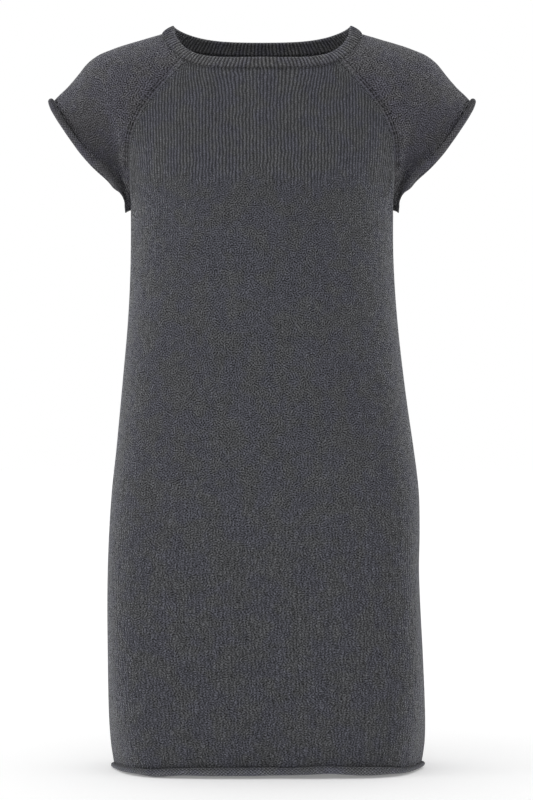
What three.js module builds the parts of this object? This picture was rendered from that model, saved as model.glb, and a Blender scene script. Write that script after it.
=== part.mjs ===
// A knitted sweater dress with raglan cap sleeves, a ribbed neckband and rolled edges.
// It keeps the hollow shape that it has when it is worn, and nothing is inside it.
// Millimetres. +Z is up, -Y is the front, +X is the right-hand side seen from the front.
// The origin is the middle of the neck opening, level with the foot of the neckband
// on the shoulders.

import * as THREE from 'three';

// Driving dimensions
const WALL = 2.5;
const SEAM_GAP = 0.3;
const MITRE_LIMIT = 1.5;
// Over this distance from an edge, a wall turns from its own direction to the seam's.
const EDGE_TURN = 16;

// Rows are placed from the neck (at 0) to the underarm, then on to the hem or the cuff.
const UNDERARM = 1;
const HEM = 2;
const CUFF = 1.08;

const RIDGE = { middle: 2.4, foot: 5, height: 1.3, fadeFrom: 0.6, fadeTo: 0.82 };
const HEM_ROLL = { inside: 2.3, turn: 285, steps: 8 };
const CUFF_ROLL = { inside: 1.8, turn: 280, steps: 7, underarmTurn: 160, openFrom: 10, openTo: 45 };

const HALF_COLUMNS = 9;
const SLEEVE_COLUMNS = 8;
const YOKE_ROWS = [0, 0.07, 0.15, 0.25, 0.36, 0.48, 0.6, 0.71, 0.81, 0.9, UNDERARM];
const SKIRT_ROWS = 16;

const BAND = { ribs: 100, ribHeight: 1.3, crown: 0.9 };
const BAND_ROWS = [0, 0.5, 1];
const BAND_LENGTH_STEPS = 1440;
const TANGENT_DEGREES = 0.5;

// The two edges of the neckband, seen from above as ellipses about centreY.
// A higher curve makes the side peaks rounder.
const BAND_FOOT = {
  halfWidth: 114.5, centreY: 5, front: 73, back: 69, sideZ: 3.4, frontZ: -44, backZ: -14,
  frontCurve: 1.4, backCurve: 1.4,
};
const BAND_TOP = {
  halfWidth: 101, centreY: 5, front: 67, back: 63, sideZ: 12, frontZ: -31, backZ: 0.6,
  frontCurve: 1.15, backCurve: 1.8,
};
// Where the raglan seams meet the neckband, from the shoulder's middle, and how far down
// the rows are eased to fit it and turned to its direction.
const FRONT_NECK_ANGLE = 39;
const BACK_NECK_ANGLE = 45.7;
const NECK_REACH = 0.3;
const NECK_TURN = 0.15;

// Half rows of the front and back panels, from the neck (at 0) to the underarm (at 1).
// side is the point on the raglan seam. The row runs from it past a corner at cornerX
// to the middle, which lies at depth and midZ.
const FRONT_YOKE = [
  { at: 0.00, sideX: 89.0, sideY: 41, sideZ: -31, cornerX: 52, depth: 68, midZ: -44, full: 0.56 },
  { at: 0.12, sideX: 107.0, sideY: 48, sideZ: -52, cornerX: 60, depth: 77, midZ: -63, full: 0.56 },
  { at: 0.26, sideX: 124.0, sideY: 53, sideZ: -72, cornerX: 70, depth: 88, midZ: -84, full: 0.57 },
  { at: 0.40, sideX: 137.5, sideY: 55, sideZ: -91.5, cornerX: 82, depth: 98, midZ: -104, full: 0.58 },
  { at: 0.53, sideX: 145.5, sideY: 54, sideZ: -109.5, cornerX: 94, depth: 107, midZ: -124, full: 0.59 },
  { at: 0.66, sideX: 150.0, sideY: 49, sideZ: -128, cornerX: 107, depth: 114, midZ: -143, full: 0.6 },
  { at: 0.80, sideX: 151.0, sideY: 37, sideZ: -156, cornerX: 122, depth: 120, midZ: -168, full: 0.6 },
  { at: 0.91, sideX: 150.5, sideY: 19, sideZ: -180, cornerX: 137, depth: 123, midZ: -189, full: 0.6 },
];
const BACK_YOKE = [
  { at: 0.00, sideX: 80.0, sideY: 54, sideZ: -11, cornerX: 45, depth: 74, midZ: -14, full: 0.56 },
  { at: 0.12, sideX: 101.0, sideY: 61, sideZ: -33, cornerX: 57, depth: 84, midZ: -40, full: 0.56 },
  { at: 0.26, sideX: 120.0, sideY: 66, sideZ: -58, cornerX: 70, depth: 93, midZ: -68, full: 0.57 },
  { at: 0.40, sideX: 134.5, sideY: 68, sideZ: -82, cornerX: 84, depth: 100, midZ: -94, full: 0.58 },
  { at: 0.53, sideX: 144.0, sideY: 66, sideZ: -104, cornerX: 98, depth: 105, midZ: -117, full: 0.59 },
  { at: 0.66, sideX: 149.5, sideY: 59, sideZ: -126, cornerX: 110, depth: 108, midZ: -139, full: 0.6 },
  { at: 0.80, sideX: 151.0, sideY: 43, sideZ: -155, cornerX: 124, depth: 109, midZ: -165, full: 0.6 },
  { at: 0.91, sideX: 150.5, sideY: 21, sideZ: -180, cornerX: 138, depth: 108.5, midZ: -188, full: 0.6 },
];

// Whole rings of the body from the underarm to the hem. corner is how far out the ring's
// corner stands, full is how far the ring reaches into it (0.55 is an ellipse), and lean
// is how far it hangs to the right.
const BODY = [
  { z: -202, width: 150, corner: 150, front: 124, back: 107.5, full: 0.6, lean: 0 },
  { z: -245, width: 150, corner: 150, front: 125, back: 104, full: 0.6, lean: 0 },
  { z: -291, width: 151.7, corner: 151.7, front: 120, back: 98, full: 0.61, lean: 0.4 },
  { z: -337, width: 155, corner: 155, front: 114, back: 93, full: 0.62, lean: 0.9 },
  { z: -382, width: 159.5, corner: 159.5, front: 110, back: 92, full: 0.64, lean: 1.4 },
  { z: -428, width: 164.6, corner: 164.6, front: 109, back: 96, full: 0.66, lean: 2.3 },
  { z: -474, width: 170.1, corner: 170.1, front: 110, back: 104, full: 0.69, lean: 3.5 },
  { z: -520, width: 175.4, corner: 175, front: 111.5, back: 113, full: 0.72, lean: 3.8 },
  { z: -566, width: 177.5, corner: 176.5, front: 112.5, back: 118, full: 0.75, lean: 2.8 },
  { z: -611, width: 178, corner: 176.5, front: 112, back: 118, full: 0.78, lean: 1.6 },
  { z: -657, width: 179.2, corner: 176, front: 110.5, back: 114, full: 0.82, lean: 2.2 },
  { z: -703, width: 180.3, corner: 174, front: 108.5, back: 109, full: 0.86, lean: 3.6 },
  { z: -772, width: 181, corner: 168, front: 105.5, back: 102, full: 0.9, lean: 5.6 },
  { z: -806, width: 179.6, corner: 160, front: 104, back: 99, full: 0.92, lean: 6.6 },
  { z: -831, width: 175.8, corner: 152, front: 101, back: 95, full: 0.93, lean: 6.8 },
];
const UNDERARM_POINT = { sideX: 150, sideY: 0, sideZ: -198 };
const UNDERARM_MIDDLE_Z = -206;

// Arched rows of the right sleeve. crown is the top of the arch over the shoulder.
// out, forward and up pull a row away from its seam, and crownIn, crownForward and
// crownDown pull it away from the crown.
const SLEEVE = [
  { at: 0.00, crownX: 114.5, crownY: 5, crownZ: 3.4, out: 10, forward: -8, up: 13,
    crownIn: 0, crownForward: 22, crownDown: 8 },
  { at: 0.12, crownX: 133, crownY: 6, crownZ: -2, out: 15, forward: -1, up: 16,
    crownIn: 0, crownForward: 29, crownDown: 6 },
  { at: 0.26, crownX: 154, crownY: 6, crownZ: -8, out: 20, forward: 3, up: 20,
    crownIn: 0, crownForward: 33, crownDown: 8 },
  { at: 0.40, crownX: 173, crownY: 6, crownZ: -14.3, out: 24, forward: 3, up: 20,
    crownIn: 0, crownForward: 37, crownDown: 10 },
  { at: 0.53, crownX: 188.5, crownY: 5, crownZ: -21, out: 22, forward: 1, up: 19,
    crownIn: 0, crownForward: 42, crownDown: 14 },
  { at: 0.66, crownX: 201, crownY: 5, crownZ: -30.5, out: 20, forward: -1, up: 17,
    crownIn: 0, crownForward: 49, crownDown: 22 },
  { at: 0.80, crownX: 212.5, crownY: 4, crownZ: -45, out: 17, forward: 3, up: 18,
    crownIn: 1, crownForward: 60, crownDown: 31 },
  { at: 0.91, crownX: 223, crownY: 3, crownZ: -57, out: 13, forward: 22, up: 21,
    crownIn: 3, crownForward: 64, crownDown: 38 },
  { at: 1.00, crownX: 232.5, crownY: 1.5, crownZ: -66, out: 8, forward: 44, up: 26,
    crownIn: 5, crownForward: 64, crownDown: 42 },
  { at: 1.08, crownX: 241, crownY: 0, crownZ: -75, out: 2, forward: 56, up: 30,
    crownIn: 6, crownForward: 66, crownDown: 46 },
];
const CUFF_UNDERARM = new THREE.Vector3(155.5, 0, -202);
const BACK_FULLNESS = 1.1;
// Where the cuff is drawn in towards the arm: how far down an arch, over what share of
// it, and how deep.
const CUFF_TUCKS = [
  { share: 0.25, spread: 0.19, depth: 3.4 },
  { share: 0.76, spread: 0.16, depth: 5.3 },
];
const TUCK_DIRECTION = new THREE.Vector3(-0.77, 0, 0.64);

// Soft folds, as straight troughs seen from the front (x against z). side is -1 on the
// front of the dress and 1 on its back.
const BODY_FOLDS = [
  { side: -1, fromX: 0, fromZ: -745, toX: 4, toZ: -850, spread: 24, depth: 3 },
  { side: -1, fromX: -112, fromZ: -205, toX: -96, toZ: -232, spread: 22, depth: 2.5 },
  { side: -1, fromX: 108, fromZ: -208, toX: 96, toZ: -232, spread: 22, depth: 2.5 },
  { side: 1, fromX: -40, fromZ: -360, toX: 30, toZ: -372, spread: 18, depth: 3 },
  { side: 1, fromX: 52, fromZ: -760, toX: 46, toZ: -850, spread: 24, depth: 3 },
];
const SLEEVE_FOLDS = [
  { side: -1, fromX: 171, fromZ: -110, toX: 157, toZ: -178, spread: 9, depth: 3 },
  { side: 1, fromX: 182, fromZ: -100, toX: 164, toZ: -165, spread: 10, depth: 5 },
];

const FINISH = { front: 0x47484c, back: 0x47484c, sleeve: 0x48474b, neckband: 0x4b4b4f };

// A smooth value from a table's named column, at a place along it.
function columnAt(rows, key, column, place) {
  let i = 0;
  while (i < rows.length - 2 && place > rows[i + 1][key]) i += 1;
  const slope = (k) => {
    const low = Math.max(k - 1, 0);
    const high = Math.min(k + 1, rows.length - 1);
    return (rows[high][column] - rows[low][column]) / (rows[high][key] - rows[low][key]);
  };
  const step = rows[i + 1][key] - rows[i][key];
  const t = (place - rows[i][key]) / step;
  const rise = rows[i + 1][column] - rows[i][column];
  const a = slope(i) * step - rise;
  const b = -slope(i + 1) * step + rise;
  return rows[i][column] + t * rise + t * (1 - t) * ((1 - t) * a + t * b);
}

// Every column of a table at a place along it.
function rowAt(rows, key, place) {
  const row = {};
  for (const column of Object.keys(rows[0])) row[column] = columnAt(rows, key, column, place);
  return row;
}

function smoothStep(low, high, value) {
  return THREE.MathUtils.smoothstep(value, low, high);
}

// The panel's table: its yoke, the underarm row, and the body's rings down to the hem.
function panelTable(yoke, depthColumn) {
  const underarm = {
    at: UNDERARM, ...UNDERARM_POINT, cornerX: UNDERARM_POINT.sideX, depth: BODY[0][depthColumn],
    midZ: UNDERARM_MIDDLE_Z, full: BODY[0].full, lean: 0,
  };
  const top = BODY[0].z;
  const drop = BODY[BODY.length - 1].z - top;
  const rings = BODY.slice(1).map((ring) => ({
    at: UNDERARM + (HEM - UNDERARM) * ((ring.z - top) / drop),
    sideX: ring.width, sideY: 0, sideZ: ring.z, cornerX: ring.corner,
    depth: ring[depthColumn], midZ: ring.z, full: ring.full, lean: ring.lean,
  }));
  return [...yoke.map((row) => ({ ...row, lean: 0 })), underarm, ...rings];
}

// A point of a neckband edge, at an angle from the right-hand shoulder (+90 is the front).
function loopPoint(edge, degrees) {
  const angle = THREE.MathUtils.degToRad(degrees);
  const across = Math.sin(angle);
  const toFront = across > 0;
  const reach = toFront ? edge.front : edge.back;
  const endZ = toFront ? edge.frontZ : edge.backZ;
  const curve = toFront ? edge.frontCurve : edge.backCurve;
  const fall = Math.sin((Math.PI / 2) * Math.abs(across) ** curve);
  return new THREE.Vector3(
    edge.halfWidth * Math.cos(angle),
    edge.centreY - reach * across,
    edge.sideZ + (endZ - edge.sideZ) * fall,
  );
}

// The neckband's own directions at an angle: up its wall, and out through it.
function bandDirections(degrees) {
  const foot = loopPoint(BAND_FOOT, degrees);
  const before = loopPoint(BAND_FOOT, degrees - TANGENT_DEGREES);
  const along = loopPoint(BAND_FOOT, degrees + TANGENT_DEGREES).sub(before);
  const up = loopPoint(BAND_TOP, degrees).sub(foot).normalize();
  const out = new THREE.Vector3().crossVectors(up, along).normalize();
  if (out.x * foot.x + out.y * (foot.y - BAND_FOOT.centreY) < 0) out.negate();
  return { up, out };
}

// Near the neck a piece's rows are eased so that its top row lies on the neckband's foot.
function easeToNeck(point, topPoint, degrees, at) {
  if (at >= NECK_REACH) return point;
  const weight = (1 - at / NECK_REACH) ** 2;
  return point.add(loopPoint(BAND_FOOT, degrees).sub(topPoint).multiplyScalar(weight));
}

// Half of a panel's row, as a curve in plan from the middle to the side.
function halfRow(table, facing, at) {
  const row = rowAt(table, 'at', at);
  const middle = new THREE.Vector2(0, row.depth);
  const side = new THREE.Vector2(row.sideX, row.sideY);
  const corner = new THREE.Vector2(row.cornerX, row.depth);
  const curve = new THREE.CubicBezierCurve(
    middle,
    middle.clone().lerp(corner, row.full),
    side.clone().lerp(corner, row.full),
    side,
  );
  const pointAt = (share) => {
    const plan = curve.getPointAt(share);
    const z = row.midZ + (row.sideZ - row.midZ) * (plan.x / row.sideX) ** 2;
    return new THREE.Vector3(plan.x, facing * plan.y, z);
  };
  return { pointAt, length: curve.getLength(), lean: row.lean };
}

// How far along a half row each column stands. The last ones shape the seam's ridge.
function columnShares(length, columns) {
  const shares = [];
  for (let i = 0; i <= columns; i += 1) shares.push((1 - RIDGE.foot / length) * (i / columns));
  return [...shares, 1 - RIDGE.middle / length, 1];
}

// The raised line of stitches beside a raglan seam, which dies away into the armpit's crease.
function ridgeHeight(column, lastColumn, at) {
  if (column !== lastColumn - 1) return 0;
  return RIDGE.height * (1 - smoothStep(RIDGE.fadeFrom, RIDGE.fadeTo, at));
}

// How far the folds of one side sink the cloth at a point.
function foldDepth(folds, point, side) {
  let depth = 0;
  for (const fold of folds) {
    if (fold.side !== side) continue;
    const start = new THREE.Vector2(fold.fromX, fold.fromZ);
    const run = new THREE.Vector2(fold.toX, fold.toZ).sub(start);
    const offset = new THREE.Vector2(point.x, point.z).sub(start);
    const share = THREE.MathUtils.clamp(offset.dot(run) / run.lengthSq(), 0, 1);
    const distance = offset.sub(run.multiplyScalar(share)).length();
    depth += fold.depth * Math.exp(-((distance / fold.spread) ** 2));
  }
  return depth;
}

// Surface directions of a grid of points, from its neighbouring rows and columns.
function gridNormals(grid, outward) {
  const last = grid.length - 1;
  return grid.map((row, r) => row.map((point, c) => {
    const down = grid[Math.min(r + 1, last)][c].clone().sub(grid[Math.max(r - 1, 0)][c]);
    const across = row[Math.min(c + 1, row.length - 1)].clone().sub(row[Math.max(c - 1, 0)]);
    return down.cross(across).normalize().multiplyScalar(outward);
  }));
}

// How far the hem stands above its level. It hangs lower at both sides, most on the left.
function hemWave(facing, x) {
  const atSide = smoothStep(130, 178, Math.abs(x));
  const sides = (x < 0 ? 3.6 : 2) * atSide;
  if (facing > 0) return -sides;
  const left = 2.5 * Math.exp(-(((x + 124) / 24) ** 2));
  const right = 2 * Math.exp(-(((x - 72) / 28) ** 2));
  return 1.2 * (1 - atSide) - sides - left + right;
}

// A panel's outer points: one row for each place in rows, from its left side to its right.
function panelGrid(table, facing, neckAngle, rows) {
  const topRow = halfRow(table, facing, 0);
  return rows.map((at) => {
    const half = halfRow(table, facing, at);
    const shares = columnShares(half.length, HALF_COLUMNS);
    const right = shares.map((share) => {
      const angle = -facing * (90 - (90 - neckAngle) * share);
      return easeToNeck(half.pointAt(share), topRow.pointAt(share), angle, at);
    });
    const left = right.slice(1).reverse().map((point) => new THREE.Vector3(-point.x, point.y, point.z));
    const whole = [...left, ...right];
    whole.forEach((point) => {
      point.x += half.lean;
      point.z += hemWave(facing, point.x) * smoothStep(755, 831, -point.z);
    });
    return whole;
  });
}

// One arch of the right sleeve, from its foot on the panel's seam (share 0) up to the crown.
function sleeveArch(foot, facing, at) {
  const row = rowAt(SLEEVE, 'at', at);
  const fullness = facing > 0 ? BACK_FULLNESS : 1;
  const crown = new THREE.Vector3(row.crownX, row.crownY, row.crownZ);
  const pull = new THREE.Vector3(row.out, facing * row.forward * fullness, row.up);
  const crownPull = new THREE.Vector3(-row.crownIn, facing * row.crownForward * fullness, -row.crownDown);
  const curve = new THREE.CubicBezierCurve3(
    foot.clone(),
    foot.clone().add(pull),
    crown.clone().add(crownPull),
    crown,
  );
  const pointAt = (share) => {
    const point = curve.getPointAt(share);
    const strength = smoothStep(0.7, CUFF, at) * smoothStep(0, 0.12, share);
    for (const tuck of CUFF_TUCKS) {
      const depth = tuck.depth * Math.exp(-(((1 - share - tuck.share) / tuck.spread) ** 2));
      point.addScaledVector(TUCK_DIRECTION, depth * strength);
    }
    return point;
  };
  return { pointAt, length: curve.getLength() };
}

// A point of the right-hand raglan seam, or past the underarm one of the sleeve's own seam.
function seamPoint(table, facing, neckAngle, at) {
  if (at > UNDERARM) {
    const share = (at - UNDERARM) / (CUFF - UNDERARM);
    const { sideX, sideY, sideZ } = UNDERARM_POINT;
    return new THREE.Vector3(sideX, sideY, sideZ).lerp(CUFF_UNDERARM, share);
  }
  const point = halfRow(table, facing, at).pointAt(1);
  const top = halfRow(table, facing, 0).pointAt(1);
  return easeToNeck(point, top, -facing * neckAngle, at);
}

// The right sleeve's outer points, each row from the front seam over the crown to the back seam.
function sleeveGrid(rows) {
  const arches = (facing, table, neckAngle) => rows.map((at) => {
    const arch = sleeveArch(seamPoint(table, facing, neckAngle, at), facing, at);
    const top = sleeveArch(seamPoint(table, facing, neckAngle, 0), facing, 0);
    const shares = columnShares(arch.length, SLEEVE_COLUMNS).map((share) => 1 - share).reverse();
    return shares.map((share) => {
      const angle = -facing * neckAngle * (1 - share);
      return easeToNeck(arch.pointAt(share), top.pointAt(share), angle, at);
    });
  });
  const fronts = arches(-1, FRONT_TABLE, FRONT_NECK_ANGLE);
  const backs = arches(1, BACK_TABLE, BACK_NECK_ANGLE);
  return fronts.map((row, r) => [...row, ...backs[r].slice(0, -1).reverse()]);
}

// A seam's shared directions: out through both walls, and across from piece A to piece B.
// inA and inB run from the seam into the pieces, and scale keeps the walls as thick as ever.
function seamDirections(inA, normalA, inB, normalB, along) {
  const out = normalA.clone().add(normalB).normalize();
  const square = (direction) => direction.clone().addScaledVector(along, -direction.dot(along)).normalize();
  const across = square(inB).sub(square(inA)).normalize();
  const scale = Math.min(1 / out.dot(normalA), MITRE_LIMIT);
  return { out, across, scale };
}

// A closed wall between an outer and an inner grid. With ring set its columns join up.
function closedWall(outer, inner, ring = false) {
  const rows = outer.length;
  const columns = outer[0].length;
  const positions = [];
  for (const grid of [outer, inner]) {
    for (const row of grid) {
      for (const point of row) positions.push(point.x, point.y, point.z);
    }
  }
  const half = rows * columns;
  const id = (layer, r, c) => layer * half + r * columns + (c % columns);
  const index = [];
  const quad = (a, b, c, d) => index.push(a, b, c, a, c, d);
  const columnSteps = ring ? columns : columns - 1;
  for (let c = 0; c < columnSteps; c += 1) {
    for (let r = 0; r < rows - 1; r += 1) {
      quad(id(0, r, c), id(0, r + 1, c), id(0, r + 1, c + 1), id(0, r, c + 1));
      quad(id(1, r, c), id(1, r, c + 1), id(1, r + 1, c + 1), id(1, r + 1, c));
    }
    quad(id(0, 0, c), id(0, 0, c + 1), id(1, 0, c + 1), id(1, 0, c));
    quad(id(0, rows - 1, c), id(1, rows - 1, c), id(1, rows - 1, c + 1), id(0, rows - 1, c + 1));
  }
  if (!ring) {
    const end = columns - 1;
    for (let r = 0; r < rows - 1; r += 1) {
      quad(id(0, r, 0), id(1, r, 0), id(1, r + 1, 0), id(0, r + 1, 0));
      quad(id(0, r, end), id(0, r + 1, end), id(1, r + 1, end), id(1, r, end));
    }
  }
  const geometry = new THREE.BufferGeometry();
  geometry.setAttribute('position', new THREE.Float32BufferAttribute(positions, 3));
  geometry.setIndex(signedVolume(positions, index) < 0 ? index.reverse() : index);
  geometry.computeVertexNormals();
  return geometry;
}

// The volume inside a mesh, below zero when its faces are inside out.
function signedVolume(positions, index) {
  const corner = (k) => new THREE.Vector3().fromArray(positions, 3 * k);
  let volume = 0;
  for (let i = 0; i < index.length; i += 3) {
    volume += corner(index[i]).dot(corner(index[i + 1]).cross(corner(index[i + 2])));
  }
  return volume / 6;
}

// A wall behind a grid of outer points. It lies along each point's own normal, turned
// towards the seam's direction near a side edge and the neckband's at the top.
function wallFromGrid(grid, normals, seams, roll) {
  const outer = [];
  const inner = [];
  grid.forEach((row, r) => {
    const last = row.length - 1;
    const seam = [seams.start[r], seams.end[r]];
    const top = seams.top ? seams.top(r) : null;
    const outerRow = [];
    const innerRow = [];
    row.forEach((point, c) => {
      const thickness = normals[r][c].clone();
      [row[0], row[last]].forEach((edge, e) => {
        const weight = 1 - smoothStep(0, EDGE_TURN, point.distanceTo(edge));
        const target = seam[e].out.clone().multiplyScalar(seam[e].scale);
        thickness.lerp(target, weight);
      });
      const shifted = point.clone();
      if (c === 0) shifted.add(seam[0].shift);
      if (c === last) shifted.add(seam[1].shift);
      if (top) {
        thickness.lerp(top.out[c], top.weight);
        shifted.addScaledVector(top.up[c], -top.gap);
      }
      outerRow.push(shifted);
      innerRow.push(shifted.clone().addScaledVector(thickness, -WALL));
    });
    outer.push(outerRow);
    inner.push(innerRow);
  });
  if (roll) addRoll(outer, inner, roll);
  return closedWall(outer, inner);
}

// The cloth's edge curls outward past the last row.
function addRoll(outer, inner, roll) {
  const lastOuter = outer[outer.length - 1];
  const lastInner = inner[inner.length - 1];
  const before = outer[outer.length - 2];
  const frames = lastOuter.map((point, c) => {
    const out = point.clone().sub(lastInner[c]);
    const wall = out.length();
    out.normalize();
    const down = point.clone().sub(before[c]);
    down.addScaledVector(out, -down.dot(out)).normalize();
    return { out, down, wall, centre: point.clone().addScaledVector(out, roll.inside) };
  });
  for (let s = 1; s <= roll.steps; s += 1) {
    const outerRow = [];
    const innerRow = [];
    frames.forEach((frame, c) => {
      const angle = THREE.MathUtils.degToRad(roll.turnAt(lastOuter, c)) * (s / roll.steps);
      const ray = frame.out.clone().multiplyScalar(-Math.cos(angle));
      ray.addScaledVector(frame.down, Math.sin(angle));
      outerRow.push(frame.centre.clone().addScaledVector(ray, roll.inside));
      innerRow.push(frame.centre.clone().addScaledVector(ray, roll.inside + frame.wall));
    });
    outer.push(outerRow);
    inner.push(innerRow);
  }
}

const FRONT_TABLE = panelTable(FRONT_YOKE, 'front');
const BACK_TABLE = panelTable(BACK_YOKE, 'back');

const PANEL_ROWS = [...YOKE_ROWS];
for (let i = 1; i <= SKIRT_ROWS; i += 1) PANEL_ROWS.push(UNDERARM + (HEM - UNDERARM) * (i / SKIRT_ROWS));
const SLEEVE_ROW_PLACES = [...YOKE_ROWS, CUFF];

// Raise ridges and sink folds, along the surface's own normals.
function relief(grid, normals, places, folds, sideAt) {
  grid.forEach((row, r) => {
    const last = row.length - 1;
    const ends = [row[0].clone(), row[last].clone()];
    row.forEach((point, c) => {
      const column = Math.max(c, last - c);
      const reach = Math.min(point.distanceTo(ends[0]), point.distanceTo(ends[1]));
      const fold = foldDepth(folds, point, sideAt(c, last)) * smoothStep(0, EDGE_TURN, reach);
      point.addScaledVector(normals[r][c], ridgeHeight(column, last, places[r]) - fold);
    });
  });
}

function buildPieces() {
  const front = panelGrid(FRONT_TABLE, -1, FRONT_NECK_ANGLE, PANEL_ROWS);
  const back = panelGrid(BACK_TABLE, 1, BACK_NECK_ANGLE, PANEL_ROWS);
  const sleeve = sleeveGrid(SLEEVE_ROW_PLACES);
  const frontNormals = gridNormals(front, 1);
  const backNormals = gridNormals(back, -1);
  const sleeveNormals = gridNormals(sleeve, 1);
  relief(front, frontNormals, PANEL_ROWS, BODY_FOLDS, () => -1);
  relief(back, backNormals, PANEL_ROWS, BODY_FOLDS, () => 1);
  relief(sleeve, sleeveNormals, SLEEVE_ROW_PLACES, SLEEVE_FOLDS, (c, last) => (c < last / 2 ? -1 : 1));

  const seams = raglanSeams(front, frontNormals, back, backNormals, sleeve, sleeveNormals);
  const hemRoll = { ...HEM_ROLL, turnAt: () => HEM_ROLL.turn };
  const cuffRoll = { ...CUFF_ROLL, turnAt: cuffTurn };
  const geometries = {};
  geometries.front = wallFromGrid(front, frontNormals, panelSeams(seams.front, -1), hemRoll);
  geometries.back = wallFromGrid(back, backNormals, panelSeams(seams.back, 1), hemRoll);
  geometries.sleeve_right = wallFromGrid(sleeve, sleeveNormals, sleeveSeams(seams), cuffRoll);
  geometries.sleeve_left = mirrored(geometries.sleeve_right);
  geometries.neckband = neckband();
  return geometries;
}

// The curl is part open where the cuff passes close to the body under the arm.
function cuffTurn(edge, c) {
  const reach = Math.min(edge[c].distanceTo(edge[0]), edge[c].distanceTo(edge[edge.length - 1]));
  const share = smoothStep(CUFF_ROLL.openFrom, CUFF_ROLL.openTo, reach);
  return THREE.MathUtils.lerp(CUFF_ROLL.underarmTurn, CUFF_ROLL.turn, share);
}

// Directions on the right-hand raglan seams, the side seam and the sleeve's underarm seam.
function raglanSeams(front, frontNormals, back, backNormals, sleeve, sleeveNormals) {
  const sleeveEnd = sleeve[0].length - 1;
  const panelEnd = front[0].length - 1;
  const underarm = YOKE_ROWS.length - 1;
  // The second column in lies past the ridge, on the cloth itself.
  const build = (panel, panelNormals, sleeveColumn, sleeveSecond) => PANEL_ROWS.map((at, r) => {
    if (at > UNDERARM) {
      const out = frontNormals[r][panelEnd].clone().add(backNormals[r][panelEnd]).normalize();
      return { out, across: new THREE.Vector3(), scale: 1 };
    }
    const inPanel = panel[r][panelEnd - 2].clone().sub(panel[r][panelEnd]);
    const inSleeve = sleeve[r][sleeveSecond].clone().sub(sleeve[r][sleeveColumn]);
    const before = panel[Math.max(r - 1, 0)][panelEnd];
    const along = panel[Math.min(r + 1, underarm)][panelEnd].clone().sub(before).normalize();
    const panelNormal = panelNormals[r][panelEnd];
    return seamDirections(inPanel, panelNormal, inSleeve, sleeveNormals[r][sleeveColumn], along);
  });
  const seams = {
    front: build(front, frontNormals, 0, 2),
    back: build(back, backNormals, sleeveEnd, sleeveEnd - 2),
  };
  const shared = seams.front[underarm].out.clone().add(seams.back[underarm].out).normalize();
  seams.front[underarm].out = shared;
  seams.back[underarm].out = shared;
  const cuffOut = sleeveNormals[underarm + 1][0].clone().add(sleeveNormals[underarm + 1][sleeveEnd]);
  seams.cuff = { out: cuffOut.normalize(), across: new THREE.Vector3(), scale: 1 };
  return seams;
}

// Each edge steps back half of the gap: from the sleeve at a raglan seam, and from the
// other panel at the side seam.
function panelSeams(seam, facing) {
  const stepBack = (row, at) => {
    const shift = row.across.clone().multiplyScalar(-SEAM_GAP / 2);
    if (at >= UNDERARM) shift.y += facing * (SEAM_GAP / 2);
    return shift;
  };
  const end = seam.map((row, r) => ({ ...row, shift: stepBack(row, PANEL_ROWS[r]) }));
  const start = end.map((row) => ({
    scale: row.scale,
    out: new THREE.Vector3(-row.out.x, row.out.y, row.out.z),
    shift: new THREE.Vector3(-row.shift.x, row.shift.y, row.shift.z),
  }));
  return { start, end, top: neckEdge(facing) };
}

// The sleeve steps back the other way, and its two ends part under the arm.
function sleeveSeams(seams) {
  const edge = (seam, facing) => SLEEVE_ROW_PLACES.map((at, r) => {
    const row = at > UNDERARM ? seams.cuff : seam[r];
    const shift = row.across.clone().multiplyScalar(SEAM_GAP / 2);
    if (at >= UNDERARM) shift.y += facing * (SEAM_GAP / 2);
    return { ...row, shift };
  });
  return { start: edge(seams.front, -1), end: edge(seams.back, 1), top: sleeveNeckEdge };
}

// The top rows turn to the neckband's direction, and the first stops short of its foot.
function neckRow(angles, at) {
  const weight = Math.max(0, 1 - at / NECK_TURN);
  const directions = angles.map((angle) => bandDirections(angle));
  return {
    out: directions.map((direction) => direction.out),
    up: directions.map((direction) => direction.up),
    gap: at === 0 ? SEAM_GAP / 2 : 0,
    weight,
  };
}

// The neckband's directions over a panel's row, one for each column.
function neckEdge(facing) {
  const neckAngle = facing < 0 ? FRONT_NECK_ANGLE : BACK_NECK_ANGLE;
  return (r) => {
    const table = facing < 0 ? FRONT_TABLE : BACK_TABLE;
    const shares = columnShares(halfRow(table, facing, PANEL_ROWS[r]).length, HALF_COLUMNS);
    const right = shares.map((share) => -facing * (90 - (90 - neckAngle) * share));
    const left = right.slice(1).reverse().map((angle) => -facing * 180 - angle);
    return neckRow([...left, ...right], PANEL_ROWS[r]);
  };
}

// The same over a sleeve's row.
function sleeveNeckEdge(r) {
  const at = SLEEVE_ROW_PLACES[r];
  const half = (facing, table, neckAngle) => {
    const arch = sleeveArch(seamPoint(table, facing, neckAngle, at), facing, at);
    const shares = columnShares(arch.length, SLEEVE_COLUMNS).map((share) => 1 - share).reverse();
    return shares.map((share) => -facing * neckAngle * (1 - share));
  };
  const fronts = half(-1, FRONT_TABLE, FRONT_NECK_ANGLE);
  const backs = half(1, BACK_TABLE, BACK_NECK_ANGLE);
  return neckRow([...fronts, ...backs.slice(0, -1).reverse()], at);
}

// Angles that space points evenly round the middle of the neckband.
function evenAngles(count) {
  const fine = BAND_LENGTH_STEPS;
  const middle = (k) => {
    const degrees = (360 * k) / fine;
    return loopPoint(BAND_FOOT, degrees).lerp(loopPoint(BAND_TOP, degrees), 0.5);
  };
  const lengths = [0];
  for (let k = 1; k <= fine; k += 1) lengths.push(lengths[k - 1] + middle(k).distanceTo(middle(k - 1)));
  const angles = [];
  let k = 0;
  for (let i = 0; i < count; i += 1) {
    const target = (lengths[fine] * i) / count;
    while (lengths[k + 1] < target) k += 1;
    const share = (target - lengths[k]) / (lengths[k + 1] - lengths[k]);
    angles.push((360 * (k + share)) / fine);
  }
  return angles;
}

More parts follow.
